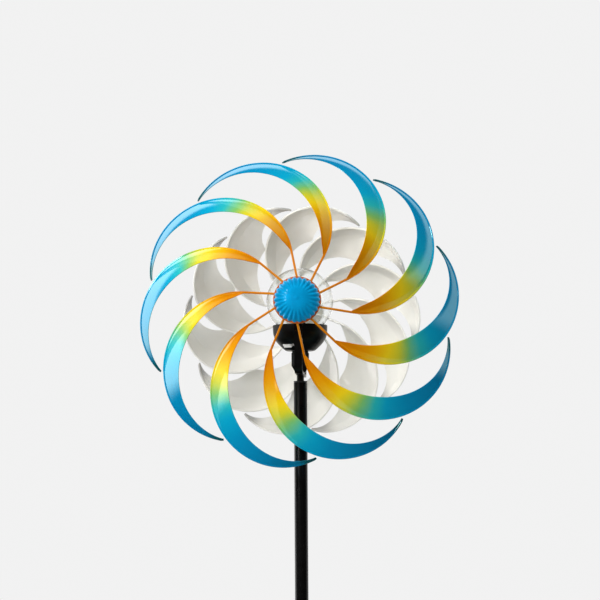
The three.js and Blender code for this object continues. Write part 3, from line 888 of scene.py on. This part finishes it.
def plate_mesh(name, rotor):
    """The disc that the spokes are welded to, with a rolled edge and a weld bead on each spoke."""
    radius, hole, low = HUB_PLATE["radius"], HUB_PLATE["hole"], HUB_PLATE["low"]
    high = low + HUB_PLATE["thick"]
    parts = [lathe(rounded([(hole, low), (radius, low), (radius, high), (hole, high)], 0.9, 4), 96)]
    for k in range(BLADES):
        angle = math.radians(rotor["phase"] + BLADE_PITCH * k + 3.0)
        turn = Matrix.Rotation(angle, 4, "Z")
        for r, half in ((16.5, 3.4), (22.4, 2.6)):
            centre = turn @ Vector((r, 0.0, 1.35))
            parts.append(blob(centre, (half, 2.1, 1.0), turn, 6, 12))
    verts, faces = join_parts(parts)
    return mesh_of(name, verts, faces)


# ---- Lamp ----
def globe_mesh(name):
    rings = 40
    mouth = math.asin(GLOBE_MOUTH_Z / GLOBE_RADIUS)

    def arc(radius, flip):
        points = []
        for i in range(rings + 1):
            angle = math.pi / 2 - (math.pi / 2 - mouth) * i / rings
            points.append((radius * math.cos(angle) if i else 0.0, radius * math.sin(angle)))
        return points[::-1] if flip else points

    outside = arc(GLOBE_RADIUS, True)
    inside = arc(GLOBE_RADIUS - GLOBE_WALL, False)
    lip_r = (outside[0][0] + inside[-1][0]) / 2
    lip_z = min(outside[0][1], inside[-1][1]) - 0.35
    outline = inside + [(lip_r, lip_z)] + outside
    verts, faces = lathe(outline, 72)
    return mesh_of(name, verts, faces)


def cup_mesh(name):
    """The lamp's cup, from its rim to its floor and back, with a hole in the floor."""
    inner = [
        (30.6, -28.5), (30.3, -38.6), (27.9, -45.2), (24.2, -50.0),
        (18.9, -55.0), (16.2, -57.3), (2.8, -57.3),
    ]
    outer = [
        (2.8, -59.3), (16.8, -59.3), (20.2, -56.6),
        (25.8, -51.2), (29.8, -46.0), (32.3, -39.0), (32.6, -28.5),
    ]
    smooth = rounded(inner + outer, 2.2, 4)
    verts, faces = lathe(smooth, 96)
    return mesh_of(name, verts, faces)


SWITCH = {"azimuth": 235.0, "radius": 22.6, "z": -54.2, "slot_along": 16.0, "slot_tall": 5.4}


def switch_matrix():
    """The lamp switch's own frame: x along its travel, z out of the cup's wall."""
    around = math.radians(SWITCH["azimuth"])
    outwards = Vector((math.cos(around), math.sin(around), 0.0))
    along = Vector((-math.sin(around), math.cos(around), 0.0))
    normal = (outwards + Vector((0.0, 0.0, -1.0))).normalized()
    across = normal.cross(along)
    turned = Matrix((along, across, normal)).transposed().to_4x4()
    place = outwards * SWITCH["radius"] * MM + Vector((0.0, 0.0, SWITCH["z"] * MM)) + GLOBE_CENTRE
    return Matrix.Translation(place) @ turned


def box_part(low, high):
    (x0, y0, z0), (x1, y1, z1) = low, high
    verts = [Vector((x, y, z)) * MM for x in (x0, x1) for y in (y0, y1) for z in (z0, z1)]
    faces = [(0, 1, 3, 2), (4, 6, 7, 5), (0, 4, 5, 1), (2, 3, 7, 6), (0, 2, 6, 4), (1, 5, 7, 3)]
    return [tuple(v) for v in verts], faces


def cut_with(piece, cutter_part, matrix=None, operation="DIFFERENCE"):
    """Cuts a piece's mesh with a throwaway solid and applies the result."""
    cutter = bpy.data.objects.new("cutter", mesh_of("cutter", *cutter_part))
    bpy.context.scene.collection.objects.link(cutter)
    if matrix is not None:
        cutter.matrix_world = matrix
    bpy.context.view_layer.update()
    cut = piece.modifiers.new("cut", "BOOLEAN")
    cut.operation = operation
    cut.solver = "EXACT"
    cut.object = cutter
    bpy.context.view_layer.update()
    graph = bpy.context.evaluated_depsgraph_get()
    result = bpy.data.meshes.new_from_object(piece.evaluated_get(graph))
    piece.modifiers.clear()
    old = piece.data
    piece.data = result
    bpy.data.meshes.remove(old)
    mesh = cutter.data
    bpy.data.objects.remove(cutter)
    bpy.data.meshes.remove(mesh)


def bevel(piece, width, segments=3):
    made = piece.modifiers.new("edges", "BEVEL")
    made.width = width * MM
    made.segments = segments
    made.limit_method = "ANGLE"
    made.angle_limit = math.radians(40.0)
    made.harden_normals = True


def finish_piece(piece):
    piece.data.shade_smooth()
    piece.data.set_sharp_from_angle(angle=math.radians(35.0))


# ---- Yoke ----
def arm_line(rotor):
    """A rotor's arm of the yoke: where its axle crosses the arm, and the arm's foot, as (y, z)."""
    side = 1 if rotor["turn"] else -1
    tilt = math.radians(rotor["tilt"])
    eye_y = side * (rotor["hub_out"] - rotor["arm_offset"] * math.cos(tilt))
    eye_z = rotor["hub_z"] - rotor["arm_offset"] * math.sin(tilt)
    foot_y = eye_y + side * math.tan(tilt) * (eye_z - YOKE_BAR_Z)
    return Vector((eye_y, eye_z)), Vector((foot_y, YOKE_BAR_Z))


def strip_rails(path, half, bend, steps=10):
    """Left and right rails of a strip along a path of (y, z) points, its corners bent to a radius."""
    def turned(vector, angle):
        c, s = math.cos(angle), math.sin(angle)
        return Vector((vector.x * c - vector.y * s, vector.x * s + vector.y * c))

    rails = []
    first = (path[1] - path[0]).normalized()
    rails.append((path[0], Vector((-first.y, first.x))))
    for i in range(1, len(path) - 1):
        before = (path[i] - path[i - 1]).normalized()
        after = (path[i + 1] - path[i]).normalized()
        turn = math.atan2(before.x * after.y - before.y * after.x, before.dot(after))
        side = 1 if turn > 0 else -1
        start = path[i] - before * bend * math.tan(abs(turn) / 2)
        to_centre = Vector((-before.y, before.x)) * side
        centre = start + to_centre * bend
        for k in range(steps + 1):
            spoke = turned(-to_centre, turn * k / steps)
            rails.append((centre + spoke * bend, spoke * -side))
    last = (path[-1] - path[-2]).normalized()
    rails.append((path[-1], Vector((-last.y, last.x))))
    return [(at + n * half, at - n * half) for at, n in rails]


def eye_part(rotor, radius, thick):
    """A disc about the rotor's axle, at its arm."""
    half = thick / 2
    part = lathe([(0.0, -half), (radius, -half), (radius, half), (0.0, half)], 48)
    place = rotor_matrix(rotor) @ Matrix.Translation((0.0, 0.0, -rotor["arm_offset"] * MM))
    return moved(part, place)


def yoke_mesh(name):
    front_eye, front_foot = arm_line(FRONT)
    rear_eye, rear_foot = arm_line(REAR)
    rails = strip_rails([front_eye, front_foot, rear_foot, rear_eye], YOKE_THICK / 2, YOKE_BEND)
    loop = [left for left, _ in rails] + [right for _, right in rails[::-1]]
    count = len(loop)
    pairs = len(rails)
    verts = []
    for x in (-YOKE_WIDTH / 2, YOKE_WIDTH / 2):
        verts.extend((x * MM, p.x * MM, p.y * MM + GLOBE_CENTRE.z) for p in loop)
    faces = []
    for i in range(count):
        n = (i + 1) % count
        faces.append((i, n, n + count, i + count))
    for i in range(pairs - 1):
        a, b, c, d = i, i + 1, count - 2 - i, count - 1 - i
        faces.append((a, b, c, d))
        faces.append((a + count, d + count, c + count, b + count))
    return mesh_of(name, verts, faces)


def make_yoke(material):
    mesh = yoke_mesh("bent_yoke_strip")
    yoke = add_piece("bent_yoke_strip", mesh, material, "head", ["yoke_frame"])
    for rotor in (FRONT, REAR):
        cut_with(yoke, eye_part(rotor, EYE_RADIUS, YOKE_THICK * EYE_FIT), operation="UNION")
    for rotor in (FRONT, REAR):
        cut_with(yoke, eye_part(rotor, STUD_HOLE, 2 * CUTTER_HALF))
    half = CUTTER_HALF
    pin = lathe([(0.0, -half), (PIN_HOLE, -half), (PIN_HOLE, half), (0.0, half)], 40)
    cut_with(yoke, pin, Matrix.Translation(GLOBE_CENTRE + Vector((0.0, 0.0, YOKE_BAR_Z * MM))))
    finish_piece(yoke)
    bevel(yoke, 0.45)


# ---- Stand ----
def pole_part(low, high, top_ring, bottom_ring):
    """One tube section; a swaged groove marks the end that meets another section."""
    bore, radius = POLE["bore"], POLE["radius"]
    end = radius - POLE["end_round"]
    groove = radius - POLE["groove"]
    outline = [(bore, low), (end, low), (radius, low + 0.5)]
    if bottom_ring:
        outline += [(radius, low + 6.0), (groove, low + 6.6), (groove, low + 7.4), (radius, low + 8.0)]
    if top_ring:
        outline += [(radius, high - 8.0), (groove, high - 7.4), (groove, high - 6.6), (radius, high - 6.0)]
    outline += [(radius, high - 0.5), (end, high), (bore, high)]
    return lathe(outline, 56)


def make_pole(material):
    count = POLE["sections"]
    for i in range(1, count + 1):
        low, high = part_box(f"pole_section_{i}")
        part = pole_part(low.z / MM, high.z / MM, i < count, i > 1)
        mesh = mesh_of(f"painted_pole_{i}", *part)
        add_piece(f"painted_pole_{i}", mesh, material, "stand", [f"pole_section_{i}"])


def make_socket(material):
    """The socket that holds the pole, with the weld bead at its foot."""
    low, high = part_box("fork_socket")
    base, top = low.z / MM, high.z / MM
    inner, outer = SOCKET["inner"], SOCKET["outer"]
    tube = lathe(rounded([(inner, base), (outer, base), (outer, top), (inner, top)], 0.6, 3), 56)

    def lumpy(r, z, angle):
        swell = 0.25 * math.sin(19 * angle) + 0.15 * math.sin(31 * angle + 1.0)
        return r + swell * (r - 10.4) / 3.0, z

    section = ((10.3, 0.1), (13.4, 0.1), (13.0, 1.2), (12.0, 2.3), (10.9, 3.2), (10.3, 3.3))
    bead = lathe([(r, base + z) for r, z in section], 96, lumpy)
    mesh = mesh_of("welded_socket", *join_parts([tube, bead]))
    add_piece("welded_socket", mesh, material, "stand", ["fork_socket"])


def make_prongs(material):
    """The four prongs, each with a double row of weld beads along the step plate's edge."""
    radius = PRONG_RADIUS
    for side in ("left", "right"):
        for end in ("front", "rear"):
            node = f"fork_prong_{end}_{side}"
            low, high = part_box(node)
            middle = (low + high) / 2
            top, tip = high.z / MM, low.z / MM
            outline = [(0.0, tip), (0.5, tip), (0.8, tip + 0.6), (3.7, tip + 22.0), (3.95, tip + 25.0)]
            outline += [(radius, tip + 28.0), (radius, top - 0.7), (3.8, top - 0.2), (3.3, top), (0.0, top)]
            rod = moved(lathe(outline, 40), Matrix.Translation((middle.x, middle.y, 0.0)))
            parts = [rod]
            sign = -1 if end == "front" else 1
            for k in range(-3, 4):
                x = middle.x / MM + k * 1.5
                y = middle.y / MM - sign * 4.2 + sign * abs(k) * 0.12
                size = (1.35, (1.0 + 0.12 * math.sin(2.1 * k)) * 0.8, 0.78)
                for z in (2.2, 0.8):
                    parts.append(blob((x, y, z), size))
            mesh = mesh_of(f"welded_{node}", *join_parts(parts))
            add_piece(f"welded_{node}", mesh, material, "stand", [node])


# ---- Assembly ----
def refine_node(name, material, width):
    """A CAD node whose shape is right: its finish, and broken edges of a width."""
    node = frame["nodes"][name]
    node.data.materials.clear()
    node.data.materials.append(material)
    node.data.shade_smooth()
    node.data.set_sharp_from_angle(angle=math.radians(35.0))
    bevel(node, width)


def make_globe_and_cup(glass, plastic):
    centre = Matrix.Translation(GLOBE_CENTRE)
    globe = globe_mesh("crackle_globe")
    add_piece("crackle_globe", globe, glass, "head", ["glass_globe"], centre, 60.0)
    mesh = cup_mesh("moulded_cup")
    cup = add_piece("moulded_cup", mesh, plastic, "head", ["lamp_cup"], centre)
    half_along, half_tall = SWITCH["slot_along"] / 2, SWITCH["slot_tall"] / 2
    slot_part = box_part((-half_along, -half_tall, -4.5), (half_along, half_tall, 4.5))
    cut_with(cup, slot_part, switch_matrix())
    finish_piece(cup)


def make_switch():
    """The sliding lamp switch: a knob on a wider base, with five grip ridges."""
    knob = [box_part((-7.5, -2.4, -4.0), (3.5, 2.4, 0.2)), box_part((-8.8, -3.7, -4.9), (4.8, 3.7, -3.9))]
    for k in range(5):
        x = -6.4 + 2.2 * k
        knob.append(box_part((x - 0.4, -2.2, 0.0), (x + 0.4, 2.2, 0.6)))
    name = "ridged_lamp_switch"
    mesh = mesh_of(name, *join_parts(knob))
    finish = switch_white()
    slider = add_piece(name, mesh, finish, "lamp_switch", ["lamp_switch"], switch_matrix())
    bevel(slider, 0.22, 2)


def main():
    view = bpy.context.scene.view_settings
    view.view_transform = "Standard"
    view.look = "None"
    make_camera()
    make_world()
    make_floor(floor_finish())
    make_lights()

    paint = black_paint()
    plastic = black_plastic()
    steel = zinc_steel()
    rainbow = rainbow_paint()
    pearl = pearl_paint()
    orange = hub_paint("hub_orange_paint", linear(140, 66, 12), linear(172, 84, 18), 0.05, 0.0)
    blue = hub_paint("hub_blue_paint", linear(0, 148, 206), linear(0, 162, 220), 0.03, 0.5)
    white = hub_paint("hub_pearl_paint", linear(214, 211, 203), linear(226, 223, 215), 0.05, 0.0)
    glass = crackle_glass()

    finishes = {
        FRONT["label"]: (rainbow, "rainbow_paint", orange, "orange_paint", blue, "blue_paint"),
        REAR["label"]: (pearl, "pearl_paint", white, "pearl_paint", white, "pearl_paint"),
    }
    for rotor in (FRONT, REAR):
        blade, blade_slot, plate, plate_slot, dome, dome_slot = finishes[rotor["label"]]
        label = rotor["label"]
        rotor["sections"] = blade_sections(rotor)
        matrix = rotor_matrix(rotor)
        for number in range(1, BLADES + 1):
            make_blade(rotor, number, matrix, blade)
        name = f"{label}_welded_plate"
        mesh = plate_mesh(name, rotor)
        add_piece(name, mesh, plate, rotor["body"], [f"{label}_hub_plate"], matrix)
        name = f"{label}_fluted_dome"
        mesh = dome_mesh(name)
        add_piece(name, mesh, dome, rotor["body"], [f"{label}_hub_dome"], matrix, 60.0)
        refine_node(f"{label}_axle_stud", steel, 0.3)
        refine_node(f"{label}_inner_washer", steel, 0.2)
        refine_node(f"{label}_hub_sleeve", steel, 0.3)
        refine_node(f"{label}_lock_nut", steel, 0.35)

    make_globe_and_cup(glass, plastic)
    make_switch()

    refine_node("stem_block", plastic, 0.5)
    refine_node("lamp_screw", steel, 0.3)
    refine_node("lamp_gasket", rubber(), 0.4)
    refine_node("lamp_tray", plastic, 0.3)
    refine_node("solar_cell", solar_silicon(), 0.15)
    refine_node("led_board", board_green(), 0.15)
    refine_node("lamp_led", led_clear(), 0.2)
    refine_node("battery_cell", cell_sleeve(), 0.5)
    refine_node("battery_holder", plastic, 0.4)
    refine_node("yoke_pin", paint, 0.4)
    refine_node("pole_bush", nylon(), 0.3)
    refine_node("step_plate", paint, 0.6)
    for i in range(1, 4):
        refine_node(f"pole_joint_{i}", steel, 0.4)
    make_yoke(paint)
    make_pole(paint)
    make_socket(paint)
    make_prongs(paint)


main()
